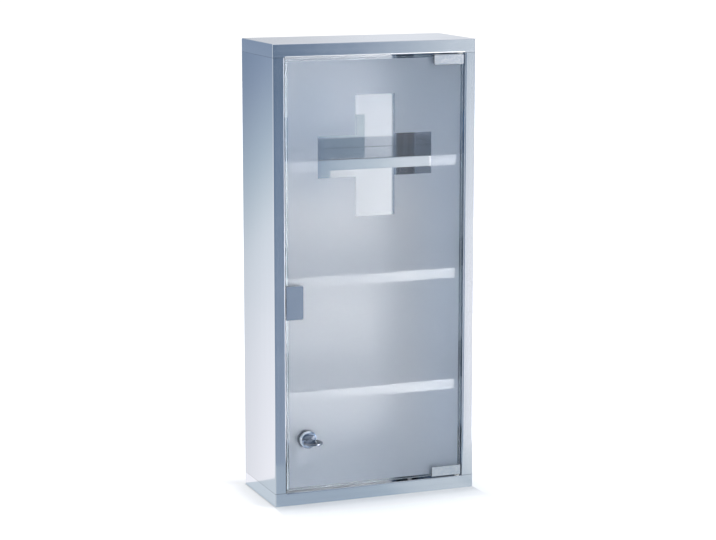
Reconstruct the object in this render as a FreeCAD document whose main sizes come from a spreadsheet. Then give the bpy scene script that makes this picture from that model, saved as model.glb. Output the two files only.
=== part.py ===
import FreeCAD, Part
import math
import os
import re
import Sketcher

# A wall-hung medicine cabinet: a folded stainless steel casing with three shelves and an
# inset frosted glass door on two pivot clips, with a cam lock, its key and a magnet catch.
# Frame: X to the right, Y to the back, Z up, millimetres, the origin at the middle of the base.

# Each size that can be set by itself, by the piece that carries it.
SIZES = {
    "casing": {
        "casing_width": 280.0,
        "casing_depth": 125.0,
        "casing_height": 600.0,
        "sheet": 1.0,                 # stainless steel sheet of the casing and the shelves
        "stile_width": 16.0,          # upright strip each side of the opening
        "rail_height": 17.5,          # strip above and below the opening
        "lip_depth": 12.0,            # strip folded inwards around the opening
        "corner_bend": 0.5,           # inside radius of the outer folds
        "edge_bend": 0.8,             # inside radius of the fold around the opening
        "seam_gap": 0.2,              # line between a cap and the side panels
        "tab_length": 10.0,           # part of a side panel that slips behind a cap
        "joggle": 2.0,                # length of the step from the panel to its tab
        "back_flange": 12.0,
        "back_inset": 1.0,            # back panel's edge inside the casing's outline
        "wall_hole": 6.0,             # diameter of a wall screw's hole
        "wall_hole_side": 40.0,       # hole to the side of the casing
        "wall_hole_end": 50.0,        # hole to the top or bottom of the casing
    },
    "shelves": {
        "shelf_lip": 14.0,            # height of the strip folded down along the front
        "shelf_lip_inset": 9.0,       # end of that strip to the side of the opening
        "shelf_bend": 0.5,
        "shelf_gap": 0.5,             # shelf to the side panels and the back flanges
        "shelf_behind_glass": 3.0,
        "shelf_behind_lip": 1.0,      # shelf's side wings to the casing's folded lip
        "rest_leg": 12.0,             # both legs of the angle under a shelf's end
        "rest_front": 8.0,            # angle's front end to the shelf's wing
        "rest_rear": 6.0,             # angle's rear end to the back panel
    },
    "door": {
        "glass": 4.0,                 # thickness
        "glass_recess": 2.0,          # front of the glass behind the front of the casing
        "side_play": 2.2,             # glass to the stiles
        "end_play": 2.7,              # glass to the rails
        "glass_corner": 2.0,
        "glass_arris": 0.4,
        "frost_border": 2.5,          # clear strip around the blasted field
        "frost_depth": 0.1,
        "cross_size": 157.0,          # clear cross left in the blasted field
        "cross_bar": 54.0,
        "cross_drop": 146.0,          # middle of the cross below the top of the casing
    },
    "hinges": {
        "pivot_inset": 3.8,           # pivot to the glass's edge
        "clip_length": 41.0,
        "clip_cover": 12.0,           # how far a clip reaches over the glass
        "clip_front": 1.2,
        "clip_web": 1.2,
        "clip_rear": 1.8,
        "clip_fold": 2.5,             # outside radius along a clip's spine
        "clip_corner": 1.5,
        "liner": 0.5,                 # soft strip between a clip and the glass
        "pin_radius": 1.5,
        "bush_wall": 1.0,
        "bush_collar": 1.0,           # how far the bush's collar stands out round its body
        "bush_length": 6.0,           # body from the rail's lip inwards
        "pin_play": 0.05,             # radial, pin in its bush
        "collar_play": 0.2,           # clip's spine to the bush's collar
        "seat_play": 0.02,            # radial, pieces that are pressed or screwed together
        "grub_radius": 1.5,
        "grub_length": 2.2,
        "grub_socket": 0.75,          # hexagon socket, centre to corner
        "grub_socket_depth": 1.2,
        "grub_inset": 12.0,           # grub screw to the end of its clip
    },
    "catch": {
        "keeper_width": 21.5,         # steel counter plate over the glass's left edge
        "keeper_height": 44.0,
        "keeper_plate": 1.0,
        "keeper_drop": 54.0,          # its bottom below the middle shelf
        "keeper_corner": 2.5,
        "catch_width": 18.0,
        "catch_height": 22.0,
        "catch_depth": 4.5,
        "catch_drop": 51.0,           # its bottom below the middle shelf
        "catch_gap": 0.3,             # pole plates to the counter plate
        "pole_proud": 0.5,
        "pole_plate": 1.2,
        "magnet_width": 13.0,
        "magnet_height": 5.6,
        "magnet_depth": 3.2,
        "arm": 1.2,                   # bracket's thickness
        "arm_foot": 16.0,             # bracket's leg along the side panel
        "arm_behind_lip": 0.8,
        "catch_screw": 1.25,          # radius of the thread
        "catch_screw_head": 2.3,
        "catch_screw_rise": 1.4,
        "catch_screw_grip": 2.6,      # thread inside the housing
        "catch_screw_inset": 3.2,     # screw to the end of the housing
    },
    "lock": {
        "lock_inset": 26.8,           # axis to the glass's left edge
        "lock_rise": 66.8,            # axis to the glass's bottom edge
        "collar_radius": 11.5,
        "collar_depth": 6.0,
        "collar_bevel": 1.6,
        "groove_inside": 7.4,
        "groove_outside": 8.8,
        "groove_depth": 0.9,
        "barrel_radius": 9.0,
        "barrel_play": 0.5,           # radial, barrel in the glass's hole
        "gasket": 0.5,
        "washer": 1.0,
        "washer_radius": 12.5,
        "nut": 3.6,
        "nut_radius": 13.0,           # hexagon, centre to corner
        "head_radius": 6.5,
        "head_depth": 1.6,
        "head_recess": 0.4,
        "plug_radius": 5.5,
        "plug_play": 0.05,            # radial, plug in the barrel
        "tang": 7.0,                  # square end that carries the cam
        "tang_play": 0.05,
        "tang_short": 0.2,            # end of the tang below the cam's rear face
        "cam": 2.0,
        "cam_play": 0.3,              # cam to the barrel's rear end
        "cam_behind_lip": 0.8,
        "cam_hub": 8.0,
        "cam_reach": 36.0,            # axis to the cam's tip
        "cam_width": 10.0,
        "cam_tip_round": 3.0,
        "cam_screw": 1.5,             # radius of the thread
        "cam_screw_grip": 3.2,
        "cam_screw_head": 5.0,
        "cam_screw_rise": 1.8,
        "screw_slot": 0.8,
        "screw_slot_depth": 0.7,
    },
    "key": {
        "blade": 2.0,                 # thickness
        "blade_width": 7.4,
        "blade_play": 0.15,           # blade in its slot, each side
        "slot_wall": 1.2,             # metal left behind the end of the slot
        "tip_play": 0.6,
        "bow_radius": 12.5,
        "bow": 2.6,                   # thickness
        "bow_stand_off": 22.0,        # middle of the bow to the front of the glass
        "bow_round": 0.8,
        "ring_hole": 2.4,
        "ring_hole_inset": 4.6,       # hole's middle to the bow's rim
        "bit_depth": 1.9,             # deepest cut in the blade
        "bit_first": 2.6,             # tip to the first cut
        "bit_pitch": 2.5,
    },
}
# Depth of each cut in the key, as shares of the deepest one, from the tip.
BIT_SHARES = (0.45, 1.0, 0.3, 0.75)

# Places that several pieces share, worked out from the sizes above.
PLACES = {
    "half_width": "casing_width / 2",
    "front": "-casing_depth / 2",
    "rear": "casing_depth / 2",
    "flange_rear": "rear - sheet",
    "inside_half": "half_width - sheet",
    "opening_half": "half_width - stile_width",
    "lip_rear": "front + lip_depth",
    "corner_outside": "corner_bend + sheet",
    "edge_outside": "edge_bend + sheet",
    "glass_half": "opening_half - side_play",
    "glass_bottom": "rail_height + end_play",
    "glass_top": "casing_height - rail_height - end_play",
    "glass_front": "front + glass_recess",
    "glass_rear": "glass_front + glass",
    "glass_middle": "glass_front + glass / 2",
    "cross_height": "casing_height - cross_drop",
    "keeper_bottom": "casing_height / 2 - keeper_drop",
    "catch_bottom": "casing_height / 2 - catch_drop",
    "pivot_x": "glass_half - pivot_inset",
    "bush_radius": "pin_radius + pin_play + bush_wall",
    "collar_thick": "end_play - liner - clip_web - collar_play",
    "shelf_front": "glass_rear + shelf_behind_glass",
    "wing_front": "max(lip_rear + shelf_behind_lip; shelf_front + shelf_bend + sheet)",
    "wing_rear": "flange_rear - sheet - shelf_gap",
    "keeper_rear": "glass_rear + liner + keeper_plate",
    "pole_front": "keeper_rear + catch_gap",
    "housing_front": "pole_front + pole_proud",
    "arm_front": "max(lip_rear + arm_behind_lip; housing_front + catch_depth)",
    "housing_depth": "arm_front - housing_front",
    "catch_x": "-glass_half + keeper_width / 2",
    "catch_middle": "catch_bottom + catch_height / 2",
    "lock_x": "-glass_half + lock_inset",
    "lock_z": "glass_bottom + lock_rise",
    "collar_front": "-gasket - collar_depth",
    "nut_front": "glass + washer",
    "cam_front": "max(lip_depth - glass_recess + cam_behind_lip; nut_front + nut + cam_play)",
    "barrel_rear": "cam_front - cam_play",
    "plug_front": "collar_front + head_recess",
    "slot_end": "barrel_rear - slot_wall",
    "blade_tip": "slot_end - tip_play",
    "tang_end": "cam_front + cam - tang_short",
}

os.makedirs("parts", exist_ok=True)
doc = FreeCAD.newDocument("MedicineCabinet")
sheet = doc.addObject("Spreadsheet::Sheet", "Sizes")
row = 1
for piece, values in SIZES.items():
    sheet.set("A%d" % row, piece)
    row += 1
    for name, value in values.items():
        sheet.set("A%d" % row, name)
        sheet.set("B%d" % row, str(value))
        sheet.setAlias("B%d" % row, name)
        row += 1
doc.recompute()

ALIASES = {name for values in SIZES.values() for name in values}
X_AXIS = FreeCAD.Vector(1, 0, 0)
RIGHT_ANGLE = 90.0
FULL_TURN = 360.0
SAME_PLACE = 1e-5    # two points closer than this are one
node_objects = []    # the finished sub-parts, in the order they are made


def bound(text):
    """Writes an expression's plain words as cells of the sheet, and shared places in full."""
    def swap(match):
        word = match.group(0)
        if word in PLACES:
            return "(" + bound(PLACES[word]) + ")"
        return "Sizes." + word if word in ALIASES else word
    return re.sub(r"[a-z_]+", swap, str(text))


def place(item, x="0", y="0", z="0", facing_back=False):
    """Puts an object at x, y, z; facing_back turns its own Z to the back of the cabinet."""
    if facing_back:
        item.Placement = FreeCAD.Placement(FreeCAD.Vector(), FreeCAD.Rotation(X_AXIS, -RIGHT_ANGLE))
    for axis, text in zip("xyz", (x, y, z)):
        item.setExpression("Placement.Base." + axis, bound(text))
    return item


def keep(item, label):
    """Names a finished sub-part and lists it for writing."""
    item.Label = label
    node_objects.append(item)
    return item


def body(label):
    return keep(doc.addObject("PartDesign::Body", label.title().replace("_", "")), label)


def sketch(owner, name, plane, at="0"):
    """A sketch on one of the body's own planes, moved to `at` along the axis across it."""
    item = owner.newObject("Sketcher::SketchObject", owner.Name + name)
    role = plane + "_Plane"
    support = [feature for feature in owner.Origin.OriginFeatures if feature.Role == role][0]
    item.AttachmentSupport = [(support, "")]
    item.MapMode = "FlatFace"
    away = "-(%s)" % at if plane == "XZ" else at    # the XZ plane faces the front
    item.setExpression("AttachmentOffset.Base.z", bound(away))
    return item


def hold_point(item, element, corner, start, x, y):
    """Ties one point of a sketch to x and y, measured from the sketch's origin."""
    for kind, value, text in (("DistanceX", start.x, x), ("DistanceY", start.y, y)):
        index = item.addConstraint(Sketcher.Constraint(kind, -1, 1, element, corner, value))
        item.setExpression("Constraints[%d]" % index, bound(text))


def outline(item, corners):
    """A closed outline of straight lines, each corner tied to its own x and y."""
    count = len(corners)
    first = item.GeometryCount
    start = []
    for number in range(count):
        turn = 2 * math.pi * number / count
        start.append(FreeCAD.Vector(math.cos(turn), math.sin(turn), 0))
    for number in range(count):
        item.addGeometry(Part.LineSegment(start[number], start[(number + 1) % count]), False)
    for number in range(count):
        following = first + (number + 1) % count
        item.addConstraint(Sketcher.Constraint("Coincident", first + number, 2, following, 1))
    for number, (x, y) in enumerate(corners):
        hold_point(item, first + number, 1, start[number], x, y)
    return item


def rectangle(item, x_low, x_high, y_low, y_high):
    return outline(item, [(x_low, y_low), (x_high, y_low), (x_high, y_high), (x_low, y_high)])


def circle(item, x, y, radius):
    middle = FreeCAD.Vector()
    element = item.addGeometry(Part.Circle(middle, FreeCAD.Vector(0, 0, 1), 1), False)
    hold_point(item, element, 3, middle, x, y)
    index = item.addConstraint(Sketcher.Constraint("Radius", element, 1.0))
    item.setExpression("Constraints[%d]" % index, bound(radius))
    return item


def feature(owner, kind, name, profile, length, backwards=False):
    """A Pad or Pocket along its sketch's normal, or against it when backwards."""
    before = owner.Shape.Volume if owner.Tip else 0
    item = owner.newObject("PartDesign::" + kind, owner.Name + name)
    item.Profile = profile
    item.setExpression("Length", bound(length))
    # A Pocket that isn't reversed cuts against its sketch's normal.
    item.Reversed = backwards if kind == "Pad" else not backwards
    doc.recompute()
    gained = owner.Shape.Volume - before
    if (gained <= 0) == (kind == "Pad"):
        raise RuntimeError("%s of %s changed nothing" % (name, owner.Label))
    return item


def pad(owner, name, profile, length, backwards=False):
    return feature(owner, "Pad", name, profile, length, backwards)


def pocket(owner, name, profile, length, backwards=False):
    return feature(owner, "Pocket", name, profile, length, backwards)


def edges_at(owner, item, corners):
    """Names of the body's edges that run square to a sketch through its given corners."""
    normal = item.Placement.Rotation.multVec(FreeCAD.Vector(0, 0, 1))
    points = [item.Placement.multVec(item.Geometry[corner].StartPoint) for corner in corners]
    names = []
    for number, edge in enumerate(owner.Tip.Shape.Edges):
        along = edge.Vertexes[-1].Point - edge.Vertexes[0].Point
        if along.cross(normal).Length > SAME_PLACE * (1 + along.Length) or along.Length < SAME_PLACE:
            continue
        if any((edge.Vertexes[0].Point - point).cross(normal).Length < SAME_PLACE for point in points):
            names.append("Edge%d" % (number + 1))
    return names


def edges_where(owner, test):
    """Names of the body's edges that pass a test of their middle and their direction."""
    names = []
    for number, edge in enumerate(owner.Tip.Shape.Edges):
        along = edge.Vertexes[-1].Point - edge.Vertexes[0].Point
        middle = (edge.Vertexes[-1].Point + edge.Vertexes[0].Point) / 2
        if along.Length > SAME_PLACE and test(middle, along.normalize()):
            names.append("Edge%d" % (number + 1))
    return names


def rims(owner):
    """Names of the body's edges that are full circles."""
    return ["Edge%d" % (number + 1) for number, edge in enumerate(owner.Tip.Shape.Edges)
            if edge.Closed and len(edge.Vertexes) == 1]


def soften(owner, kind, name, edges, size):
    """A Fillet (its radius) or Chamfer (its width) along the named edges."""
    if not edges:
        raise RuntimeError("%s of %s found no edge" % (name, owner.Label))
    base = owner.Tip
    item = owner.newObject("PartDesign::" + kind, owner.Name + name)
    item.Base = (base, edges)
    item.setExpression("Radius" if kind == "Fillet" else "Size", bound(size))
    doc.recompute()
    return item


def turned(label, corners, **where):
    """A turned piece: an outline of (radius, height) corners revolved about its own Z."""
    owner = body(label)
    profile = outline(sketch(owner, "Profile", "XZ"), corners)
    turn = owner.newObject("PartDesign::Revolution", owner.Name + "Turn")
    turn.Profile = profile
    turn.ReferenceAxis = (profile, ["V_Axis"])
    turn.Angle = FULL_TURN
    place(owner, **where)
    doc.recompute()
    return owner


def group(label, members):
    """Several like pieces under one name, each still a solid of its own."""
    for member in members:
        node_objects.remove(member)
    item = doc.addObject("Part::Compound", label.title().replace("_", ""))
    item.Links = members
    return keep(item, label)


def is_along(direction, axis):
    return abs(abs(getattr(direction, axis)) - 1) < SAME_PLACE


# Side panels. Each is one folded sheet: wall, front stile with its lip, and back flange. Its
# ends step in by a sheet's thickness and slip behind the skirts of the two caps.
def side_panel(label, side):
    owner = body(label)
    wall, stile = side + " * half_width", side + " * opening_half"
    wall_in = side + " * inside_half"
    stile_in = side + " * (opening_half + sheet)"
    flange = side + " * (half_width - back_flange)"
    bottom = "rail_height + seam_gap / 2"
    length = "casing_height - 2 * rail_height - seam_gap"
    profile = sketch(owner, "Section", "XY", bottom)
    outline(profile, [
        (wall, "flange_rear"), (wall, "front"), (stile, "front"), (stile, "lip_rear"),
        (stile_in, "lip_rear"), (stile_in, "front + sheet"), (wall_in, "front + sheet"),
        (wall_in, "flange_rear - sheet"), (flange, "flange_rear - sheet"), (flange, "flange_rear")])
    pad(owner, "Wall", profile, length)
    soften(owner, "Fillet", "OuterFolds", edges_at(owner, profile, (0, 1)), "corner_outside")
    soften(owner, "Fillet", "InnerFolds", edges_at(owner, profile, (6, 7)), "corner_bend")
    soften(owner, "Fillet", "EdgeFold", edges_at(owner, profile, (2,)), "edge_outside")
    soften(owner, "Fillet", "EdgeFoldInside", edges_at(owner, profile, (5,)), "edge_bend")
    tab_in = side + " * (inside_half - sheet)"
    tab_bend = side + " * (inside_half - corner_bend)"
    tab_front, tab_rear = "front + sheet + corner_bend", "flange_rear - sheet - corner_bend"
    tab_height = "tab_length + seam_gap / 2 + joggle"
    for name, low in (("LowerTab", "rail_height - tab_length"),
                      ("UpperTab", "casing_height - rail_height - seam_gap / 2 - joggle")):
        tab = sketch(owner, name + "Side", "XY", low)
        rectangle(tab, wall_in, tab_in, tab_front, tab_rear)
        pad(owner, name, tab, tab_height)
        tab = sketch(owner, name + "Front", "XY", low)
        rectangle(tab, tab_bend, stile_in, "front + sheet", "front + 2 * sheet")
        pad(owner, name + "Turned", tab, tab_height)
    return owner


side_panel("left_side_panel", "-1")
side_panel("right_side_panel", "1")


# Caps. Each is one folded pan: a plate with a skirt all round, and a lip folded inwards along
# the opening, with a hole for the bush of the door's pivot.
def cap(label, from_end):
    """from_end turns a height measured inwards from the cap's outer face into a place."""
    owner = body(label)
    plate, skirt = from_end("sheet"), from_end("rail_height")
    outer, lip_top = from_end("0"), from_end("rail_height - sheet")
    section = [("flange_rear", skirt), ("flange_rear", outer), ("front", outer), ("front", skirt)]
    lip = [("lip_rear", skirt), ("lip_rear", lip_top), ("front + sheet", lip_top)]
    plain = [("front + sheet", skirt)]
    inside = [("front + sheet", plate), ("flange_rear - sheet", plate), ("flange_rear - sheet", skirt)]
    middle = sketch(owner, "Middle", "YZ", "-opening_half + seam_gap")
    outline(middle, section + lip + inside)
    pad(owner, "Rail", middle, "2 * (opening_half - seam_gap)")
    soften(owner, "Fillet", "EdgeFold", edges_at(owner, middle, (3,)), "edge_outside")
    soften(owner, "Fillet", "EdgeFoldInside", edges_at(owner, middle, (6,)), "edge_bend")
    for name, start in (("LeftEnd", "-half_width"), ("RightEnd", "opening_half - seam_gap")):
        end = sketch(owner, name, "YZ", start)
        outline(end, section + plain + inside)
        pad(owner, name + "Rail", end, "stile_width + seam_gap")
    for name, start in (("LeftSkirt", "-half_width"), ("RightSkirt", "inside_half")):
        side = sketch(owner, name, "YZ", start)
        rectangle(side, "front", "flange_rear", skirt, outer)
        pad(owner, name + "Plate", side, "sheet")
    size = owner.Shape.BoundBox
    outer_z = size.ZMax if from_end("0") == "casing_height - (0)" else size.ZMin

    def is_outer_edge(middle, along):
        on_side = min(middle.x - size.XMin, size.XMax - middle.x) < SAME_PLACE
        on_face = min(middle.y - size.YMin, size.YMax - middle.y) < SAME_PLACE
        if is_along(along, "z"):
            return on_side and on_face
        return abs(middle.z - outer_z) < SAME_PLACE and (on_side or on_face)
    soften(owner, "Fillet", "OuterFolds", edges_where(owner, is_outer_edge), "corner_outside")
    hole = sketch(owner, "BushHole", "XY", from_end("rail_height + sheet"))
    circle(hole, "pivot_x", "glass_middle", "bush_radius + seat_play")
    pocket(owner, "BushHoleCut", hole, "3 * sheet", backwards=from_end("0") == "0")
    return owner


cap("top_cap", lambda height: "casing_height - (%s)" % height)
cap("bottom_cap", lambda height: height)

# Back panel. A flat sheet lapped over the flanges from behind, with four wall screw holes.
back_panel = body("back_panel")
back_outline = sketch(back_panel, "Outline", "XZ", "flange_rear")
rectangle(back_outline, "-half_width + back_inset", "half_width - back_inset",
          "back_inset", "casing_height - back_inset")
pad(back_panel, "Plate", back_outline, "sheet", backwards=True)
wall_holes = sketch(back_panel, "WallHoles", "XZ", "rear")
for x in ("-half_width + wall_hole_side", "half_width - wall_hole_side"):
    for z in ("wall_hole_end", "casing_height - wall_hole_end"):
        circle(wall_holes, x, z, "wall_hole / 2")
pocket(back_panel, "WallHolesCut", wall_holes, "sheet")

# Shelves. Each is a sheet with its front folded down, notched at the front corners to pass the
# casing's lips. Its ends lie on two angles that are spot-welded to the side panels.
SHELF_NAMES = ("lower", "middle", "upper")
for count, name in enumerate(SHELF_NAMES, start=1):
    level = "casing_height * %d / %d" % (count, len(SHELF_NAMES) + 1)
    lip_half = "opening_half - shelf_lip_inset"
    shelf = body(name + "_shelf")
    fold = sketch(shelf, "Fold", "YZ", "-(%s)" % lip_half)
    outline(fold, [("shelf_front", "0"), ("shelf_front", "-shelf_lip"),
                   ("shelf_front + sheet", "-shelf_lip"), ("shelf_front + sheet", "-sheet"),
                   ("wing_rear", "-sheet"), ("wing_rear", "0")])
    pad(shelf, "FoldedSheet", fold, "2 * (%s)" % lip_half)
    soften(shelf, "Fillet", "LipFold", edges_at(shelf, fold, (0,)), "shelf_bend + sheet")
    soften(shelf, "Fillet", "LipFoldInside", edges_at(shelf, fold, (3,)), "shelf_bend")
    wings = sketch(shelf, "Wings", "XY", "-sheet")
    rectangle(wings, "-inside_half + shelf_gap", "inside_half - shelf_gap", "wing_front", "wing_rear")
    pad(shelf, "WingPlate", wings, "sheet")
    place(shelf, z=level)
    for hand, side in (("left", "-1"), ("right", "1")):
        rest = body("%s_shelf_%s_rest" % (name, hand))
        angle = sketch(rest, "Section", "XZ", "wing_front + rest_front")
        wall, tip = side + " * inside_half", side + " * (inside_half - rest_leg)"
        wall_in = side + " * (inside_half - sheet)"
        outline(angle, [(wall, "-sheet"), (tip, "-sheet"), (tip, "-2 * sheet"),
                        (wall_in, "-2 * sheet"), (wall_in, "-sheet - rest_leg"),
                        (wall, "-sheet - rest_leg")])
        pad(rest, "Angle", angle, "flange_rear - rest_rear - wing_front - rest_front", backwards=True)
        place(rest, z=level)

# Door glass. Toughened glass with rounded corners and a hole for the lock. Its rear face is
# sand-blasted inside a clear border, and the masked cross stays at the full thickness.
door_glass = body("door_glass")
glass_outline = sketch(door_glass, "Outline", "XZ", "glass_front")
rectangle(glass_outline, "-glass_half", "glass_half", "glass_bottom", "glass_top")
pad(door_glass, "Plate", glass_outline, "glass", backwards=True)
soften(door_glass, "Fillet", "Corners", edges_at(door_glass, glass_outline, range(4)), "glass_corner")
soften(door_glass, "Chamfer", "Arris",
       edges_where(door_glass, lambda middle, along: not is_along(along, "y")), "glass_arris")
lock_hole = sketch(door_glass, "LockHole", "XZ", "glass_rear")
circle(lock_hole, "lock_x", "lock_z", "barrel_radius + barrel_play")
pocket(door_glass, "LockHoleCut", lock_hole, "glass")
frost = sketch(door_glass, "Frost", "XZ", "glass_rear")
rectangle(frost, "-glass_half + frost_border", "glass_half - frost_border",
          "glass_bottom + frost_border", "glass_top - frost_border")
arm_end, arm_side = "cross_size / 2", "cross_bar / 2"
quarter = [(arm_side, arm_end), (arm_side, arm_side), (arm_end, arm_side)]
cross = []
for sign_x, sign_z in (("1", "1"), ("1", "-1"), ("-1", "-1"), ("-1", "1")):
    turned_over = sign_x != sign_z
    for across, up in quarter[::-1] if turned_over else quarter:
        cross.append(("%s * %s" % (sign_x, across), "cross_height + %s * %s" % (sign_z, up)))
outline(frost, cross)
pocket(door_glass, "Blasted", frost, "frost_depth")


def wrap(label, edge, out, cover, front, web, back, start, length, plane="YZ"):
    """A U-shaped piece over an edge of the glass: plates in front and behind, and a web.

    edge is where the web starts and out the sign of the way out of the glass. front and back
    each give the near and far side of a plate, and cover how far the plates reach inwards."""
    owner = body(label)
    section = sketch(owner, "Section", plane, start)
    inner = "%s - %s * (%s)" % (edge, out, cover)
    spine = "%s + %s * (%s)" % (edge, out, web)
    corners = [(front[1], inner), (front[1], spine), (back[1], spine), (back[1], inner),
               (back[0], inner), (back[0], edge), (front[0], edge), (front[0], inner)]
    if plane == "XY":
        corners = [(up, across) for across, up in corners]
    outline(section, corners)
    pad(owner, "Bent", section, length)
    return owner, section


# Hinge clips. Cast clips over the top and bottom edge of the glass at its right end, each with
# a soft liner, two grub screws from behind and a pivot pin that turns in a bush in the cap.
liner_front = ("glass_front", "glass_front - liner")
liner_back = ("glass_rear", "glass_rear + liner")
clip_front = ("glass_front - liner", "glass_front - liner - clip_front")
clip_back = ("glass_rear + liner", "glass_rear + liner + clip_rear")
clip_start = "glass_half - clip_length"
grubs = []
for name, out, edge in (("upper", "1", "glass_top"), ("lower", "-1", "glass_bottom")):
    wrap(name + "_hinge_liner", edge, out, "clip_cover", liner_front, "liner", liner_back,
         clip_start, "clip_length")
    clip, section = wrap(name + "_hinge_clip", "%s + %s * liner" % (edge, out), out,
                         "clip_cover + liner", clip_front, "clip_web", clip_back,
                         clip_start, "clip_length")
    soften(clip, "Fillet", "Spine", edges_at(clip, section, (1, 2)), "clip_fold")
    box = clip.Shape.BoundBox
    low = box.ZMin if out == "1" else box.ZMax
    soften(clip, "Fillet", "Corners", edges_where(
        clip, lambda middle, along: is_along(along, "y") and abs(middle.z - low) < SAME_PLACE),
        "clip_corner")
    spine = "%s + %s * (liner + clip_web)" % (edge, out)
    pin_hole = circle(sketch(clip, "PinHole", "XY", spine), "pivot_x", "glass_middle",
                      "pin_radius + seat_play")
    pocket(clip, "PinHoleCut", pin_hole, "clip_web", backwards=out == "1")
    grub_z = "%s - %s * clip_cover / 2" % (edge, out)
    grub_places = ("clip_length - grub_inset", "grub_inset")
    grub_holes = sketch(clip, "GrubHoles", "XZ", "glass_rear + liner")
    for offset in grub_places:
        circle(grub_holes, "%s + %s" % (clip_start, offset), grub_z, "grub_radius + seat_play")
    pocket(clip, "GrubHolesCut", grub_holes, "clip_rear", backwards=True)
    for count, offset in enumerate(grub_places, start=1):
        grub = turned("%s_grub_%d" % (name, count),
                      [("0", "0"), ("grub_radius", "0"), ("grub_radius", "grub_length"),
                       ("0", "grub_length")],
                      x="%s + %s" % (clip_start, offset), y="glass_rear + liner", z=grub_z,
                      facing_back=True)
        socket = sketch(grub, "Socket", "XY", "grub_length")
        outline(socket, [("grub_socket * cos(%d deg)" % turn, "grub_socket * sin(%d deg)" % turn)
                         for turn in range(0, 360, 60)])
        pocket(grub, "SocketCut", socket, "grub_socket_depth", backwards=True)
        grubs.append(grub)
    # The pin stands on the inner face of the web and ends level with the bush.
    pin_start, bush_face = "liner", "end_play"
    pin_end = "end_play + bush_length"
    turned(name + "_hinge_pin",
           [("0", "%s * (%s)" % (out, pin_start)), ("pin_radius", "%s * (%s)" % (out, pin_start)),
            ("pin_radius", "%s * (%s)" % (out, pin_end)), ("0", "%s * (%s)" % (out, pin_end))],
           x="pivot_x", y="glass_middle", z=edge)
    bore = "pin_radius + pin_play"
    rise = [out + " * (" + text + ")" for text in
            (bush_face + " - collar_thick", bush_face, bush_face + " + bush_length")]
    turned(name + "_hinge_bush",
           [(bore, rise[0]), ("bush_radius + bush_collar", rise[0]),
            ("bush_radius + bush_collar", rise[1]), ("bush_radius", rise[1]),
            ("bush_radius", rise[2]), (bore, rise[2])],
           x="pivot_x", y="glass_middle", z=edge)
group("hinge_grub_screws", grubs)

# Counter plate. A steel clip over the left edge of the glass, on its own liner. The magnet
# catch pulls on it from behind, and a finger pulls the door open by it.
keeper_liner, liner_section = wrap(
    "keeper_liner", "-glass_half", "-1", "keeper_width", liner_front, "liner", liner_back,
    "keeper_bottom", "keeper_height", plane="XY")
keeper, keeper_section = wrap(
    "keeper_plate", "-glass_half - liner", "-1", "keeper_width + liner",
    ("glass_front - liner", "glass_front - liner - keeper_plate"), "keeper_plate",
    ("glass_rear + liner", "keeper_rear"), "keeper_bottom", "keeper_height", plane="XY")
soften(keeper, "Fillet", "Folds", edges_at(keeper, keeper_section, (1, 2)), "keeper_plate")
keeper_edge = keeper.Shape.BoundBox.XMax
soften(keeper, "Fillet", "Corners", edges_where(
    keeper, lambda middle, along: is_along(along, "y") and abs(middle.x - keeper_edge) < SAME_PLACE),
    "keeper_corner")

# Magnet catch. A bracket welded to the left side panel reaches behind the stile and carries a
# plastic housing, where a magnet sits between two steel pole plates that stand slightly proud.
bracket = body("catch_bracket")
bracket_section = sketch(bracket, "Section", "XY", "catch_bottom")
arm_tip = "catch_x + catch_width / 2"
outline(bracket_section, [
    ("-inside_half", "arm_front"), (arm_tip, "arm_front"), (arm_tip, "arm_front + arm"),
    ("-inside_half + arm", "arm_front + arm"), ("-inside_half + arm", "arm_front + arm_foot"),
    ("-inside_half", "arm_front + arm_foot")])
pad(bracket, "Bent", bracket_section, "catch_height")
soften(bracket, "Fillet", "Fold", edges_at(bracket, bracket_section, (0,)), "arm")
screw_places = ("catch_bottom + catch_screw_inset", "catch_bottom + catch_height - catch_screw_inset")
bracket_holes = sketch(bracket, "ScrewHoles", "XZ", "arm_front")
for z in screw_places:
    circle(bracket_holes, "catch_x", z, "catch_screw + seat_play")
pocket(bracket, "ScrewHolesCut", bracket_holes, "arm", backwards=True)

housing = body("catch_housing")
housing_outline = sketch(housing, "Outline", "XZ", "housing_front")
rectangle(housing_outline, "catch_x - catch_width / 2", "catch_x + catch_width / 2",
          "catch_bottom", "catch_bottom + catch_height")
pad(housing, "Block", housing_outline, "housing_depth", backwards=True)
magnet_half = "magnet_height / 2 + pole_plate"
seat = sketch(housing, "MagnetSeat", "XZ", "housing_front")
rectangle(seat, "catch_x - magnet_width / 2 - seat_play", "catch_x + magnet_width / 2 + seat_play",
          "catch_middle - (%s) - seat_play" % magnet_half, "catch_middle + %s + seat_play" % magnet_half)
pocket(housing, "MagnetSeatCut", seat, "magnet_depth", backwards=True)
housing_holes = sketch(housing, "ScrewHoles", "XZ", "arm_front")
for z in screw_places:
    circle(housing_holes, "catch_x", z, "catch_screw + seat_play")
pocket(housing, "ScrewHolesCut", housing_holes, "catch_screw_grip + seat_play")

magnet = body("catch_magnet")
magnet_outline = sketch(magnet, "Outline", "XZ", "housing_front")
rectangle(magnet_outline, "catch_x - magnet_width / 2", "catch_x + magnet_width / 2",
          "catch_middle - magnet_height / 2", "catch_middle + magnet_height / 2")
pad(magnet, "Block", magnet_outline, "magnet_depth", backwards=True)
poles = []
for name, side in (("lower", "-1"), ("upper", "1")):
    pole = body("catch_%s_pole" % name)
    pole_outline = sketch(pole, "Outline", "XZ", "pole_front")
    rectangle(pole_outline, "catch_x - magnet_width / 2", "catch_x + magnet_width / 2",
              "catch_middle + %s * magnet_height / 2" % side,
              "catch_middle + %s * (magnet_height / 2 + pole_plate)" % side)
    pad(pole, "Plate", pole_outline, "pole_proud + magnet_depth", backwards=True)
    poles.append(pole)
group("catch_pole_plates", poles)


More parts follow.
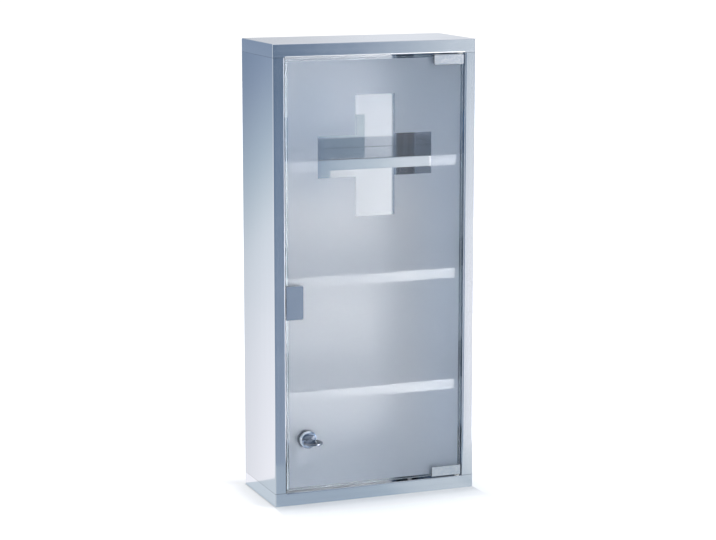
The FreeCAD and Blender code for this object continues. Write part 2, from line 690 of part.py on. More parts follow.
def slotted_screw(label, thread, grip, head, rise, **where):
    """A screw with a flat slotted head on local z = 0 and its thread towards -z."""
    owner = turned(label, [("0", "-(%s)" % grip), (thread, "-(%s)" % grip), (thread, "0"),
                           (head, "0"), (head, rise + " / 2"), (head + " - %s / 2" % rise, rise),
                           ("0", rise)], facing_back=True, **where)
    slot = sketch(owner, "Slot", "XY", rise)
    rectangle(slot, "-%s - seat_play" % head, "%s + seat_play" % head, "-screw_slot / 2", "screw_slot / 2")
    pocket(owner, "SlotCut", slot, "screw_slot_depth", backwards=True)
    return owner


group("catch_screws", [
    slotted_screw("catch_screw_%d" % count, "catch_screw", "arm + catch_screw_grip",
                  "catch_screw_head", "catch_screw_rise", x="catch_x", y="arm_front + arm", z=z)
    for count, z in enumerate(screw_places, start=1)])

# Cam lock. The barrel passes the hole in the glass and is held by a nut behind it, with a soft
# gasket in front and a washer behind. Its pieces are made about the lock's axis, with local
# z = 0 at the front of the glass and z growing towards the back.
at_lock = {"x": "lock_x", "y": "glass_front", "z": "lock_z", "facing_back": True}
plug_bore, head_bore = "plug_radius + plug_play", "head_radius + plug_play"
head_end = "plug_front + head_depth + plug_play"
turned("lock_housing", [
    (head_bore, "collar_front"), ("groove_inside", "collar_front"),
    ("groove_inside", "collar_front + groove_depth"), ("groove_outside", "collar_front + groove_depth"),
    ("groove_outside", "collar_front"), ("collar_radius - collar_bevel", "collar_front"),
    ("collar_radius", "collar_front + collar_bevel"), ("collar_radius", "-gasket"),
    ("barrel_radius", "-gasket"), ("barrel_radius", "barrel_rear"), (plug_bore, "barrel_rear"),
    (plug_bore, head_end), (head_bore, head_end)], **at_lock)
turned("lock_gasket", [("barrel_radius + seat_play", "-gasket"), ("collar_radius - seat_play", "-gasket"),
                       ("collar_radius - seat_play", "0"), ("barrel_radius + seat_play", "0")], **at_lock)
turned("lock_washer", [("barrel_radius + seat_play", "glass"), ("washer_radius", "glass"),
                       ("washer_radius", "nut_front"), ("barrel_radius + seat_play", "nut_front")], **at_lock)
nut = body("lock_nut")
place(nut, **at_lock)
nut_outline = sketch(nut, "Hexagon", "XY", "nut_front")
outline(nut_outline, [("nut_radius * cos(%d deg)" % turn, "nut_radius * sin(%d deg)" % turn)
                      for turn in range(0, 360, 60)])
circle(nut_outline, "0", "0", "barrel_radius + seat_play")
pad(nut, "Ring", nut_outline, "nut")

# Plug, cam and cam screw turn together. The cam hangs down when the door is free, and turns a
# quarter to the left behind the stile's lip to lock it.
plug = turned("lock_plug", [("0", "plug_front"), ("head_radius", "plug_front"),
                            ("head_radius", "plug_front + head_depth"),
                            ("plug_radius", "plug_front + head_depth"), ("plug_radius", "barrel_rear"),
                            ("0", "barrel_rear")], **at_lock)
tang = sketch(plug, "Tang", "XY", "barrel_rear")
rectangle(tang, "-tang / 2", "tang / 2", "-tang / 2", "tang / 2")
pad(plug, "TangPad", tang, "tang_end - barrel_rear")
key_slot = sketch(plug, "KeySlot", "XY", "plug_front")
slot_half, slot_rise = "blade_width / 2 + blade_play", "blade / 2 + blade_play"
rectangle(key_slot, "-(%s)" % slot_half, slot_half, "-(%s)" % slot_rise, slot_rise)
pocket(plug, "KeySlotCut", key_slot, "slot_end - plug_front")
screw_hole = circle(sketch(plug, "ScrewHole", "XY", "tang_end"), "0", "0", "cam_screw + seat_play")
pocket(plug, "ScrewHoleCut", screw_hole, "cam_screw_grip + seat_play", backwards=True)

cam = body("lock_cam")
place(cam, **at_lock)
# With local z to the back, local y points down.
hub = circle(sketch(cam, "Hub", "XY", "cam_front"), "0", "0", "cam_hub")
pad(cam, "HubPlate", hub, "cam")
blade = sketch(cam, "Arm", "XY", "cam_front")
rectangle(blade, "-cam_width / 2", "cam_width / 2", "0", "cam_reach")
pad(cam, "ArmPlate", blade, "cam")
soften(cam, "Fillet", "Tip", edges_at(cam, blade, (2, 3)), "cam_tip_round")
cam_hole = sketch(cam, "SquareHole", "XY", "cam_front")
rectangle(cam_hole, "-tang / 2 - tang_play", "tang / 2 + tang_play",
          "-tang / 2 - tang_play", "tang / 2 + tang_play")
pocket(cam, "SquareHoleCut", cam_hole, "cam")
slotted_screw("cam_screw", "cam_screw", "cam_screw_grip", "cam_screw_head", "cam_screw_rise",
              x="lock_x", y="glass_front + cam_front + cam", z="lock_z")

# Key. A round bow and a flat blade with cuts along one edge, lying level in the plug's slot.
key = body("key")
place(key, x="lock_x", y="glass_front", z="lock_z", facing_back=True)
bow = circle(sketch(key, "Bow", "XZ", "-bow / 2"), "0", "-bow_stand_off", "bow_radius")
pad(key, "BowDisc", bow, "bow", backwards=True)
soften(key, "Fillet", "BowRim", rims(key), "bow_round")
half = "blade_width / 2"
cuts = []
for count, share in enumerate(BIT_SHARES):
    middle = "blade_tip - bit_first - %d * bit_pitch" % count
    depth = "%s - %s * bit_depth" % (half, share)
    cuts += [(half, middle + " + bit_pitch / 2"), (depth, middle + " + bit_pitch / 8"),
             (depth, middle + " - bit_pitch / 8")]
cuts.append((half, "blade_tip - bit_first - %d * bit_pitch + bit_pitch / 2" % len(BIT_SHARES)))
blade_outline = sketch(key, "Blade", "XZ", "-blade / 2")
outline(blade_outline, [(half, "-bow_stand_off"), ("-" + half, "-bow_stand_off"),
                        ("-" + half, "blade_tip - " + half), ("0", "blade_tip")] + cuts)
pad(key, "BladePlate", blade_outline, "blade", backwards=True)
ring_hole = circle(sketch(key, "RingHole", "XZ", "-bow / 2"), "0",
                   "-bow_stand_off - bow_radius + ring_hole_inset", "ring_hole")
pocket(key, "RingHoleCut", ring_hole, "bow", backwards=True)

# Every object is checked before anything is written.
doc.recompute()
for item in doc.Objects:
    if "Invalid" in item.State or "Error" in item.State:
        raise RuntimeError("%s failed: %s" % (item.Label, item.State))
labels = [item.Label for item in node_objects]
if len(set(labels)) != len(labels):
    raise RuntimeError("two sub-parts share a name")
for item in node_objects:
    if item.Shape.isNull() or not item.Shape.isValid() or not item.Shape.Solids:
        raise RuntimeError("%s has no valid shape" % item.Label)
for item in node_objects:
    item.Shape.exportStep("parts/%s.step" % item.Label)
    size = item.Shape.BoundBox
    print("%-26s solids %d  x %8.2f %8.2f  y %7.2f %7.2f  z %7.2f %7.2f" % (
        item.Label, len(item.Shape.Solids), size.XMin, size.XMax, size.YMin, size.YMax,
        size.ZMin, size.ZMax))
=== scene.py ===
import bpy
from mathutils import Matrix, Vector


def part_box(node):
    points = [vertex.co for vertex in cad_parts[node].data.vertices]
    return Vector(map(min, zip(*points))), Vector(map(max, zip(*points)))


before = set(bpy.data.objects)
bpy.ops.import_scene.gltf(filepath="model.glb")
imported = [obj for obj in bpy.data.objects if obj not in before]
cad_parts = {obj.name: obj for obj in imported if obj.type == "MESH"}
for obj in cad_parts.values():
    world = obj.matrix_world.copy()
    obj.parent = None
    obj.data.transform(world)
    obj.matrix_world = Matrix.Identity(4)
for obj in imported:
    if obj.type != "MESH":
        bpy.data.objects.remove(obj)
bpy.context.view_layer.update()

import math

import bpy
import mathutils
import numpy as np

scene = bpy.context.scene


# Casing: two folded caps and two folded side panels of 1 mm stainless steel, spot-welded from the
# inside. The sheet comes polished with a fine grain, which runs up the side panels and stiles and
# along the caps, so the grain turns at every corner joint.
class Wire:
    """A socket of a node tree. Sums and products of wires add their own Math nodes."""

    def __init__(self, tree, socket=None):
        self.tree, self.socket = tree, socket

    def node(self, kind, settings=(), sockets=(), out=0):
        """Adds a node of a type. Its settings are set first, and then its sockets are given
        values or wires. The wire that comes back is the named or numbered output."""
        made = self.tree.nodes.new(kind)
        for key, value in dict(settings).items():
            if key == "stops":
                elements = made.color_ramp.elements
                while len(elements) < len(value):
                    elements.new(0.5)
                for element, (position, colour) in zip(elements, value):
                    parts = colour if isinstance(colour, tuple) else [colour] * 3
                    element.position = position
                    element.color = (*parts, 1)
            else:
                setattr(made, key, value)
        for key, value in dict(sockets).items():
            if isinstance(value, Wire):
                self.tree.links.new(value.socket, made.inputs[key])
            elif made.inputs[key].type == "RGBA":
                made.inputs[key].default_value = (*value, 1)
            else:
                made.inputs[key].default_value = value
        return Wire(self.tree, made.outputs[out] if len(made.outputs) else None)

    def maths(self, operation, *values):
        """A Math node's result, from wires or numbers."""
        return self.node("ShaderNodeMath", {"operation": operation}, dict(enumerate(values)))

    def __add__(self, other):
        return self.maths("ADD", self, other)

    def __mul__(self, other):
        return self.maths("MULTIPLY", self, other)

    def __sub__(self, other):
        return self.maths("SUBTRACT", self, other)

    def __rsub__(self, other):
        return self.maths("SUBTRACT", other, self)

    def __truediv__(self, other):
        return self.maths("DIVIDE", self, other)

    def __abs__(self):
        return self.maths("ABSOLUTE", self)

    __radd__, __rmul__ = __add__, __mul__

    def rise(self, low, high, first=0.0, last=1.0):
        """A smooth step from first to last while the wire goes from low to high."""
        return self.node("ShaderNodeMapRange", {"interpolation_type": "SMOOTHSTEP"},
                         {"Value": self, 1: low, 2: high, 3: first, 4: last})

    def curve(self, stops):
        """A number, or a colour, that follows the wire: stops are pairs of the wire's value and
        that number or colour, joined by straight lines and level beyond the first and last."""
        low, high = stops[0][0], stops[-1][0]
        shares = [((at - low) / (high - low), value) for at, value in stops]
        share = (self - low) / (high - low)
        return self.node("ShaderNodeValToRGB", {"stops": shares}, {"Fac": share})

    def mix(self, first, last):
        """The colour first where the wire is 0, and last where it is 1."""
        return self.node("ShaderNodeMix", {"data_type": "RGBA"}, {0: self, 6: first, 7: last}, 2)

    def axes(self):
        """The X, Y and Z of a vector, as three wires."""
        split = self.node("ShaderNodeSeparateXYZ", {}, {0: self}).socket.node
        return [Wire(self.tree, output) for output in split.outputs]

    def noise(self, place, spacing, detail=2.0, roughness=0.5):
        """Noise whose lumps are about spacing metres wide, one spacing for each axis."""
        scaled = self.node("ShaderNodeMapping", {}, {
            "Vector": place, "Scale": [1 / size for size in spacing]})
        return self.node("ShaderNodeTexNoise", {}, {
            "Vector": scaled, "Scale": 1.0, "Detail": detail, "Roughness": roughness})

    def bump(self, height):
        """A normal for a height in metres."""
        return self.node("ShaderNodeBump", {}, {"Strength": 1.0, "Distance": 1.0, "Height": height})

    def principled(self, **sockets):
        """A Principled shader. Its sockets are named in small letters with underscores."""
        return self.node("ShaderNodeBsdfPrincipled", {}, {
            name.replace("_", " ").title().replace("Ior", "IOR"): value
            for name, value in sockets.items()})


def material(name):
    """A material with an empty node tree, the tree's first wire, and the wire of the places of
    the piece's points, in metres."""
    made = bpy.data.materials.new(name)
    made.use_nodes = True
    made.node_tree.nodes.clear()
    wire = Wire(made.node_tree)
    return made, wire, wire.node("ShaderNodeTexCoord", out="Object")


def surface(wire, shader):
    """Gives a material's tree its output, fed by a shader."""
    wire.node("ShaderNodeOutputMaterial", {}, {"Surface": shader})


def wear(finishes, *node_names):
    """Gives CAD nodes their finish, or several finishes, one per material slot."""
    for node_name in node_names:
        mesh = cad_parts[node_name].data
        mesh.materials.clear()
        for finish in finishes if isinstance(finishes, list) else [finishes]:
            mesh.materials.append(finish)


def shaded(tint, share):
    """A tint with a share of its light."""
    return tuple(value * share for value in tint)


SEAM_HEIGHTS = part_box("bottom_cap")[1][2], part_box("top_cap")[0][2]
SEAM_SHADOW = 0.0011     # half width of the line of painted shade along a cap's joint
HAIR = 0.0002            # a step this narrow looks sharp
GRAIN_WIDTH, GRAIN_LENGTH = 0.0003, 0.25
BAND_WIDTH, BAND_LENGTH = 0.004, 0.5
SMUDGE_WIDTH = 0.045
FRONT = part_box("left_side_panel")[0][1]
STILE_REAR = FRONT + 0.0011
STILE_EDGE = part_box("left_side_panel")[1][0]
FOLD_WIDTH, FOLD_BLUR = 0.0014, 0.0004
LINING_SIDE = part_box("right_side_panel")[1][0] - 0.0008
REAR_SHADE_FROM, REAR_SHADE_TO = -0.06, 0.07             # painted shade grows from front to rear
SEAM_SHADE_SHARE, REAR_SHADE_SHARE, FOLD_SHADE_SHARE = 0.80, 0.88, 0.11    # of the tint's light, kept where shade is painted
MID_HEIGHT, LEAN_FROM, LEAN_SHARE = sum(SEAM_HEIGHTS) / 2, 0.25, 1 / 12


def ground_steel(name, along, tint, roughness, grain, twist=None, seams=False, edge=(1, 1, 1),
                 inner_light_tint=None):
    """Polished steel with a fine grain along an axis, of a given height. Noise stretched along the
    grain moves the colour and the roughness, with broader bands beside it, and slow smudges from
    handling dull the polish. With seams, a line of painted shade follows each cap's joint. A
    sheet with twist isn't quite flat: its sides wind from the front to the rear, and its upper
    front leans to the left. Its rear is darkened with painted shade, and the left fold beside the
    door is painted dark as shade, which dims its highlight. Edge is the tint at a grazing look,
    and the inner tint is the paler, bluer tint of the faces that line the inside, as painted light."""
    made, wire, place = material(name)
    fine = wire.noise(place, [GRAIN_LENGTH if axis == along else GRAIN_WIDTH for axis in "xyz"],
                      3.0, 0.6)
    bands = wire.noise(place, [BAND_LENGTH if axis == along else BAND_WIDTH for axis in "xyz"])
    smudges = wire.noise(place, [SMUDGE_WIDTH] * 3, 4.0, 0.6).rise(0.45, 0.75)
    streak = fine.rise(0.3, 0.7) * 0.55 + bands.rise(0.3, 0.7) * 0.35 + smudges * 0.1
    colour = streak.mix(shaded(tint, 0.955), shaded(tint, 1.015))
    height = fine * grain
    x, y, z = place.axes()
    # Painted shade: a darker line along each cap's joint.
    if seams:
        for seam in SEAM_HEIGHTS:
            colour = abs(z - seam).rise(HAIR, SEAM_SHADOW).mix(shaded(tint, SEAM_SHADE_SHARE), colour)
    if twist:
        # Painted shade: the sheet darkens towards its rear.
        colour = y.rise(REAR_SHADE_FROM, REAR_SHADE_TO).mix(colour, shaded(tint, REAR_SHADE_SHARE))
        # Painted shade: the strip of the left panel at its fold into the door's opening is made
        # dark, which dims its highlight.
        on_left = x.rise(-HAIR, HAIR, 1.0, 0.0)
        fold_shade = x.rise(STILE_EDGE - FOLD_WIDTH - FOLD_BLUR, STILE_EDGE - FOLD_WIDTH) * on_left
        colour = fold_shade.mix(colour, shaded(tint, FOLD_SHADE_SHARE))
        winding = (y - FRONT) * (z - MID_HEIGHT) * twist
        leaning = x * wire.maths("MAXIMUM", z - LEAN_FROM, 0.0) * (twist * LEAN_SHARE)
        height = height - winding + leaning
    # Painted light: the faces that line the inside get a paler, bluer tint than the outer ones.
    if inner_light_tint:
        light_lining = (abs(x).rise(LINING_SIDE + HAIR, LINING_SIDE)
                  * y.rise(STILE_REAR, STILE_REAR + HAIR))
        colour = light_lining.mix(colour, inner_light_tint)
    polish = streak * 0.03 + smudges * 0.015 + (roughness - 0.015)
    surface(wire, wire.principled(base_color=colour, metallic=1.0, specular_tint=edge,
                                  normal=wire.bump(height), roughness=polish))
    return made


CASING_TINT, CASING_ROUGHNESS, CASING_GRAIN = (0.640, 0.645, 0.652), 0.105, 0.0000045
wear(ground_steel("casing_steel_upright_grain", "z", CASING_TINT, CASING_ROUGHNESS, CASING_GRAIN,
                  twist=0.25, seams=True, inner_light_tint=(0.71, 0.755, 0.81)),
     "left_side_panel", "right_side_panel")
wear(ground_steel("casing_steel_level_grain", "x", CASING_TINT, CASING_ROUGHNESS, CASING_GRAIN,
                  seams=True),
     "top_cap", "bottom_cap")

# Back panel: a mirror-polished sheet lapped over the flanges from behind and welded, so that the
# light of the door comes back out of the cabinet.
wear(ground_steel("back_mirror_steel", "z", (0.66, 0.665, 0.67), 0.045, 0.0000012), "back_panel")

# Shelves: polished sheets with their fronts folded down, each on two angles of satin steel that
# are welded to the side panels.
shelf_steel = ground_steel("shelf_steel", "x", (0.66, 0.665, 0.675), 0.07, 0.000002,
                           edge=(0.70, 0.73, 0.77))
rest_steel = ground_steel("rest_satin_steel", "y", (0.58, 0.60, 0.62), 0.26, 0.000006)
for level in ("lower", "middle", "upper"):
    wear(shelf_steel, level + "_shelf")
    wear(rest_steel, level + "_shelf_left_rest", level + "_shelf_right_rest")

# Magnet catch: a white moulded housing with a ferrite magnet between two zinc-plated pole plates,
# screwed to a bracket of satin steel that is welded to the left side panel.
PEBBLE_WIDTH, CLOUD_WIDTH = 0.0005, 0.006


def moulded(name, tint, roughness, pebble=0.000012):
    """Moulded plastic or rubber: a skin of fine pebbles of a given height, and clouds of colour."""
    made, wire, place = material(name)
    skin = wire.noise(place, [PEBBLE_WIDTH] * 3, 2.0)
    clouds = wire.noise(place, [CLOUD_WIDTH] * 3, 3.0)
    surface(wire, wire.principled(
        base_color=clouds.rise(0.3, 0.7).mix(shaded(tint, 0.93), tint), metallic=0.0,
        roughness=skin * 0.12 + (roughness - 0.06), normal=wire.bump(skin * pebble)))
    return made


PIT_WIDTH, PATCH_WIDTH = 0.00025, 0.003


def plated(name, tint, roughness, pits=0.000003):
    """A plated or ground metal: fine pits of a given depth, and patches that lean to blue where
    the plating is thinner."""
    made, wire, place = material(name)
    pitting = wire.noise(place, [PIT_WIDTH] * 3, 3.0)
    patches = wire.noise(place, [PATCH_WIDTH] * 3, 3.0).rise(0.35, 0.65)
    thin = (tint[0] * 0.90, tint[1] * 0.93, tint[2] * 0.97)
    surface(wire, wire.principled(
        base_color=patches.mix(thin, tint), metallic=1.0, normal=wire.bump(pitting * pits),
        roughness=pitting * 0.06 + patches * 0.03 + (roughness - 0.045)))
    return made


zinc = plated("zinc_plate", (0.62, 0.63, 0.64), 0.30)
wear(rest_steel, "catch_bracket")
wear(moulded("catch_plastic", (0.80, 0.80, 0.78), 0.42), "catch_housing")
wear(moulded("ferrite", (0.050, 0.050, 0.055), 0.62, 0.00002), "catch_magnet")
wear(zinc, "catch_pole_plates", "catch_screws")

# Door glass: 4 mm toughened glass with ground edges. Its rear is sand-blasted inside a clear
# border, and the cross, which was masked while it was blasted, stays clear.
ROLLER_WAVE, SHADE_STRETCH_LENGTH = 0.03, 0.035


def clear_glass(name, tint, roughness, polish, painted_shade=0.0):
    """Glass whose skin has long waves of a given depth, as rollers leave them. Painted shade takes
    its share of the tint in stretches."""
    made, wire, place = material(name)
    shade_stretches = wire.noise(place, [SHADE_STRETCH_LENGTH] * 3).rise(0.45, 0.6)
    surface(wire, wire.principled(
        base_color=shade_stretches.mix(tint, shaded(tint, 1.0 - painted_shade)), roughness=roughness, ior=1.5,
        transmission_weight=1.0, normal=wire.bump(wire.noise(place, [ROLLER_WAVE] * 3) * polish)))
    return made


BLAST_CLOUD, BLAST_GRAIN, BLAST_RELIEF = 0.025, 0.00025, 0.00002
BLACK, WHITE = (0, 0, 0), (1, 1, 1)


def blasted_glass(name):
    """Sand-blasted glass: a rough skin that lets light through in all directions, mixed with the
    white scatter of its crushed grains, a little forwards and most of it back. The blasting's
    density moves the mix a little, in clouds. Both carry painted light: darker towards the top,
    warmest a little below half height, and the scatter turns cool again towards the right."""
    made, wire, place = material(name)
    density = wire.noise(place, [BLAST_CLOUD] * 3, 3.0)
    grains = wire.bump(wire.noise(place, [BLAST_GRAIN] * 3) * BLAST_RELIEF)
    across, _, height = place.axes()
    # Painted light and shade: darker towards the top, warm a little below half height, cool towards
    # the right.
    height_shade = height.curve([(0.03, .98), (0.10, 1.0), (0.22, 1.0), (0.34, .97), (0.42, .93),
                         (0.56, .82)])
    warm_light = height.rise(0.50, 0.36) * height.rise(0.02, 0.16, 0.35, 1.0)
    warm_light_thrown = warm_light * across.rise(0.035, 0.11, 1.0, 0.0)
    passed = warm_light.mix(WHITE, (1.0, 0.965, 0.90))
    thrown = warm_light_thrown.mix((0.82, 0.90, 1.0), (0.95, 0.965, 1.0))
    rough = wire.principled(base_color=height_shade.mix(BLACK, passed), roughness=0.57, ior=1.5,
                            transmission_weight=1.0, normal=grains)
    forwards = wire.node("ShaderNodeBsdfTranslucent", {}, {
        "Color": (0.90, 0.92, 0.95), "Normal": grains})
    back = wire.principled(base_color=height_shade.mix(BLACK, thrown), roughness=1.0,
                           specular_ior_level=0.0, normal=grains)
    scatter = wire.node("ShaderNodeMixShader", {}, {0: 0.93, 1: forwards, 2: back})
    mixed = wire.node("ShaderNodeMixShader", {}, {0: density * 0.06 + 0.345, 1: rough, 2: scatter})
    surface(wire, mixed)
    return made


# The ground edge is darkened in random stretches, as painted shade.
wear([clear_glass("door_glass_clear", (0.975, 0.985, 0.985), 0.0, 0.000002),
      blasted_glass("door_glass_blasted"),
      clear_glass("door_glass_ground_edge", (0.68, 0.77, 0.80), 0.40, 0.000003, painted_shade=0.35)],
     "door_glass")
CLEAR, BLASTED, GROUND_EDGE = range(3)
BLASTED_DEPTH, RIM, FLAT = 0.0001, 0.003, 0.9     # flat: how far a face looks to front or rear
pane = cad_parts["door_glass"].data
pane_low, pane_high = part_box("door_glass")
centres, normals = (np.empty((len(pane.polygons), 3)) for count in range(2))
pane.polygons.foreach_get("center", centres.ravel())
pane.polygons.foreach_get("normal", normals.ravel())
face_x, face_y, face_z = centres.T
facing = normals[:, 1]
near_rim = ((abs(face_x) > pane_high[0] - RIM) | (face_z < pane_low[2] + RIM)
            | (face_z > pane_high[2] - RIM))
at_blasted_depth = abs(face_y - (pane_high[1] - BLASTED_DEPTH)) < BLASTED_DEPTH / 5
is_blasted = at_blasted_depth & (facing > FLAT)
is_edge = (abs(facing) < FLAT) & near_rim & ~is_blasted
face_slots = np.where(is_blasted, BLASTED, np.where(is_edge, GROUND_EDGE, CLEAR))
pane.polygons.foreach_set("material_index", face_slots.astype(np.int32))
pane.update()

# Hinges: polished clips folded over the glass's right corners and clamped by grub screws over a
# strip of clear soft plastic. Each has a ground pin that turns in a nylon bush in its cap.
wear(plated("clip_polish", (0.58, 0.575, 0.57), 0.15, 0.000002),
     "upper_hinge_clip", "lower_hinge_clip")
wear(moulded("clear_strip", (0.50, 0.54, 0.58), 0.45),
     "upper_hinge_liner", "lower_hinge_liner", "keeper_liner")
wear(plated("ground_pin", (0.68, 0.69, 0.70), 0.18), "upper_hinge_pin", "lower_hinge_pin")
wear(moulded("bush_nylon", (0.75, 0.75, 0.71), 0.5), "upper_hinge_bush", "lower_hinge_bush")
wear(zinc, "hinge_grub_screws")

# Counter plate: satin ferritic steel folded over the glass's left edge, which the magnet pulls.
wear(ground_steel("keeper_steel", "z", (0.53, 0.55, 0.58), 0.14, 0.000005), "keeper_plate")

# Cam lock: a chromed zinc barrel through the glass, with a rubber gasket in front and a nylon
# washer and a nickel nut behind. Its satin-chromed plug carries the zinc-plated cam on a screw.
wear(plated("lock_chrome", (0.66, 0.67, 0.69), 0.05, 0.000001), "lock_housing")
wear(plated("plug_satin_chrome", (0.48, 0.51, 0.55), 0.25), "lock_plug")
wear(moulded("gasket_rubber", (0.025, 0.025, 0.026), 0.7), "lock_gasket")
wear(moulded("washer_nylon", (0.03, 0.03, 0.033), 0.45), "lock_washer")
wear(plated("nut_nickel", (0.72, 0.71, 0.68), 0.2), "lock_nut")
wear(plated("cam_zinc", (0.40, 0.41, 0.42), 0.34), "lock_cam", "cam_screw")

# Key: blanked from brass and nickel-plated, and patchy. Its tint is darkened to paint the dark
# reflection on its bow.
wear(plated("key_nickel", (0.24, 0.25, 0.27), 0.16, 0.000004), "key")


# The room that the polished steel mirrors, painted by direction. It is darker to the front left,
# with a large soft box to the front right, and a pale wall behind, which the top mirrors. The
# camera sees a plain white backdrop instead.
def rgb(red, green, blue):
    """A colour as a screen shows it, 0 to 255, turned into the light that it stands for."""
    share = np.array([red, green, blue]) / 255
    light = np.where(share <= 0.04045, share / 12.92, ((share + 0.055) / 1.055) ** 2.4)
    return tuple(float(value) for value in light)


DEGREE = 180 / math.pi
ROOM_LIGHT, BOX_LIGHT, BACKDROP_LIGHT = 1.6, 7.5, 1.1
SHADES = [(0.00, rgb(30, 36, 46)), (0.28, rgb(71, 85, 102)), (0.44, rgb(94, 115, 142)),
          (0.56, rgb(128, 143, 165)), (0.675, rgb(157, 172, 187)), (0.77, rgb(187, 197, 207)),
          (0.83, rgb(205, 211, 220)), (0.91, rgb(231, 231, 238)), (1.00, rgb(252, 252, 255))]
room = bpy.data.worlds.new("studio_room")
scene.world = room
room.use_nodes = True
room.node_tree.nodes.clear()
wire = Wire(room.node_tree)
to_right, to_rear, to_top = wire.node("ShaderNodeTexCoord", out="Generated").axes()
turn = wire.maths("ARCTAN2", to_right, 0 - to_rear) * DEGREE     # 0 to the front, 90 to the right
lift = wire.maths("ARCSINE", to_top) * DEGREE                    # 0 level, 90 upwards

# The walls' tones go by lift. The soft box throws a glow beside it, and below that is a pale strip.
front_wall = (lift.curve([(-18, .60), (-14.4, .54), (-12.2, .48), (-10.2, .487), (-5, .407),
                          (-4.1, .345), (3, .49), (9, .49), (14, .37), (25, .34)])
              + lift.rise(30, 65, 0.0, 0.5) + lift.rise(-18, -60, 0.0, 0.2))
rear_wall = (lift.curve([(-16, .905), (-11.2, .85), (-8.5, .799), (-4.2, .54), (-3, .495),
                         (0, .48), (3, .56)])
             + lift.rise(10, 60, 0.0, 0.35) + lift.rise(-16, -60, 0.0, 0.05))
front_share = abs(turn).rise(95, 125, 1.0, 0.0)
left_wall = turn.rise(-140, -125) * turn.rise(-45, -60)
glow_across = (turn.curve([(19.2, .005), (20.9, .14), (21.5, .155), (22.1, .205), (22.5, .29),
                           (23.3, .37), (24.06, .40), (27, .46)])
               * turn.rise(60, 85, 1.0, 0.0))
glow_upward = (lift.curve([(-16, .61), (-12, .98), (-5.2, .92), (-4.3, 1.0)])
               * lift.rise(20, 45, 1.0, 0.0))
strip = (turn.rise(19.9, 20.5) * turn.rise(22.2, 23.6, 1.0, 0.0)
         * lift.curve([(-10, 0.0), (-8.5, .14), (-6.7, .14), (-6.4, .20), (-5.8, .20), (-5, 0.0)]))
shade = (front_wall * front_share + rear_wall * (1 - front_share) + glow_across * glow_upward
         + strip + left_wall * 0.35)
above_rear = (turn.curve([(120, 0.0), (150, .9), (156, 1.0)]) * lift.rise(-1.5, 1.5)
              * lift.rise(30, 60, 1.0, 0.0))
pale_wall = turn.curve([(156, .555), (157.2, .59), (158.2, .58), (160, .50), (161.2, .47)])
colour = above_rear.mix(shade.curve(SHADES), pale_wall.mix(BLACK, (0.885, 0.925, 1.0)))
soft_box = (turn.rise(26, 33) * turn.rise(80, 100, 1.0, 0.0)
            * lift.rise(-50, -34) * lift.rise(14, 34, 1.0, 0.0))
mirrored = wire.node("ShaderNodeBackground", {}, {
    "Color": colour, "Strength": soft_box * BOX_LIGHT + ROOM_LIGHT})
backdrop = wire.node("ShaderNodeBackground", {}, {
    "Color": WHITE, "Strength": BACKDROP_LIGHT})
by_camera = wire.node("ShaderNodeLightPath", out="Is Camera Ray")
wire.node("ShaderNodeOutputWorld", {}, {
    "Surface": wire.node("ShaderNodeMixShader", {}, {0: by_camera, 1: mirrored, 2: backdrop})})


# The floor: a plain pale sheet that glows a little, less round the base, as a painted soft shadow.
def flat_sheet(name, low, high, height):
    """A level rectangle between two corners."""
    mesh = bpy.data.meshes.new(name)
    corners = [(low[0], low[1]), (high[0], low[1]), (high[0], high[1]), (low[0], high[1])]
    mesh.from_pydata([(x, y, height) for x, y in corners], [], [(0, 1, 2, 3)])
    made = bpy.data.objects.new(name, mesh)
    scene.collection.objects.link(made)
    return made


FLOOR_HALF, FLOOR_TINT = 6.0, (0.70, 0.68, 0.65)
base_low, base_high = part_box("bottom_cap")
floor = flat_sheet("floor", (-FLOOR_HALF, -FLOOR_HALF), (FLOOR_HALF, FLOOR_HALF), 0.0)
floor_pale, wire, place = material("floor_pale")
floor_x, floor_y = place.axes()[:2]
outside = wire.maths("MAXIMUM", abs(floor_x) - base_high[0], floor_y - base_high[1])
beside = wire.maths("MAXIMUM", outside, 0.0)
ahead = wire.maths("MAXIMUM", base_low[1] - floor_y, 0.0)
# The glow drops near the base: a painted soft shadow.
glow_ahead = ahead.curve([(0, .02), (.009, .07), (.023, .20), (.06, .37), (.1, .45), (.3, .50)])
glow_beside = beside.curve([(0, 0.0), (.002, .28), (.012, .32), (.028, .47), (.06, .55)])
glow = wire.maths("MAXIMUM", glow_ahead, glow_beside)
surface(wire, wire.principled(base_color=FLOOR_TINT, roughness=0.9, emission_strength=1.0,
                              emission_color=glow.mix(BLACK, WHITE)))
floor.data.materials.append(floor_pale)
floor.visible_glossy = floor.visible_transmission = False

# A glowing card on the floor, seen only by the polished steel, which paints the reflection
# along its foot. It fades out towards its ends.
CARD_LOW, CARD_HIGH, CARD_LIFT = (-0.9, -0.262), (0.9, 0.066), 0.0002
card = flat_sheet("foot_card", CARD_LOW, CARD_HIGH, CARD_LIFT)
card_grey, wire, place = material("foot_card_grey")
card_x = place.axes()[0]
foot_shade = card_x.curve([(-0.145, .765), (-0.13, .642), (-0.03, .648), (0.025, .675),
                           (0.052, .72), (0.08, .742), (0.128, .757), (0.15, .73),
                           (0.168, .775), (0.22, .82)])
lit = wire.principled(base_color=BLACK, specular_ior_level=0.0, emission_strength=ROOM_LIGHT,
                      emission_color=foot_shade.curve(SHADES))
clear = wire.node("ShaderNodeBsdfTransparent")
ends = abs(card_x).rise(0.25, 0.7)
surface(wire, wire.node("ShaderNodeMixShader", {}, {0: ends, 1: lit, 2: clear}))
card.data.materials.append(card_grey)
card.visible_camera = card.visible_diffuse = False
card.visible_transmission = card.visible_shadow = False

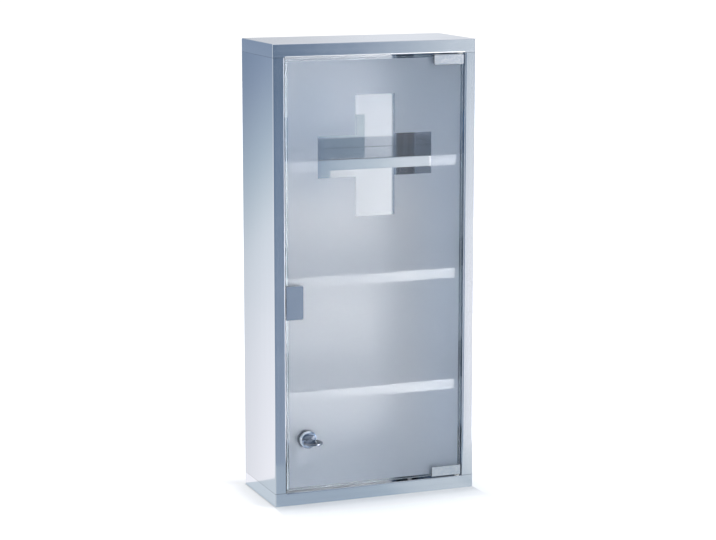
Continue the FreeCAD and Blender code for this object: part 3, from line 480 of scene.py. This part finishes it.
# Lamp: a soft box to the right, for the floor and the matt pieces.
LAMP_PLACE, LAMP_AIM = np.array([2.4, -1.5, 1.2]), np.array([0, 0, 0.3])
LAMP_WIDTH, LAMP_HEIGHT, LAMP_WATTS = 1.2, 1.6, 30
lamp_data = bpy.data.lights.new("key_box", "AREA")
lamp_data.shape = "RECTANGLE"
lamp_data.size, lamp_data.size_y = LAMP_WIDTH, LAMP_HEIGHT
lamp_data.energy = LAMP_WATTS
lamp = bpy.data.objects.new("key_box", lamp_data)
scene.collection.objects.link(lamp)
towards = mathutils.Vector(LAMP_AIM - LAMP_PLACE).to_track_quat("-Z", "Y")
lamp.matrix_world = mathutils.Matrix.Translation(LAMP_PLACE) @ towards.to_matrix().to_4x4()

# Camera: fitted to the casing's corners as the photograph shows them.
YAW, PITCH, ROLL = math.radians(21.276), math.radians(9.929), math.radians(0.016)
CAMERA_PLACE = (-1.0327, -2.6497, 0.7920)
SENSOR_WIDTH, FOCAL_LENGTH = 36.0, 109.64     # in millimetres
camera_data = bpy.data.cameras.new("camera")
camera_data.sensor_width = SENSOR_WIDTH
camera_data.lens = FOCAL_LENGTH
camera = bpy.data.objects.new("camera", camera_data)
scene.collection.objects.link(camera)
scene.camera = camera
forward = np.array([math.sin(YAW) * math.cos(PITCH), math.cos(YAW) * math.cos(PITCH),
                    -math.sin(PITCH)])
sideways = np.array([math.cos(YAW), -math.sin(YAW), 0.0])
upward = np.cross(sideways, forward)
right = math.cos(ROLL) * sideways + math.sin(ROLL) * upward
above = -math.sin(ROLL) * sideways + math.cos(ROLL) * upward
matrix = mathutils.Matrix(np.column_stack([right, above, -forward]).tolist()).to_4x4()
matrix.translation = CAMERA_PLACE
camera.matrix_world = matrix

# Plain display colours, and enough bounces for light that passes the glass and is mirrored
# between the casing's walls.
scene.view_settings.view_transform = "Standard"
scene.cycles.max_bounces = 24
scene.cycles.glossy_bounces = 12
scene.cycles.transmission_bounces = 16
scene.cycles.transparent_max_bounces = 16
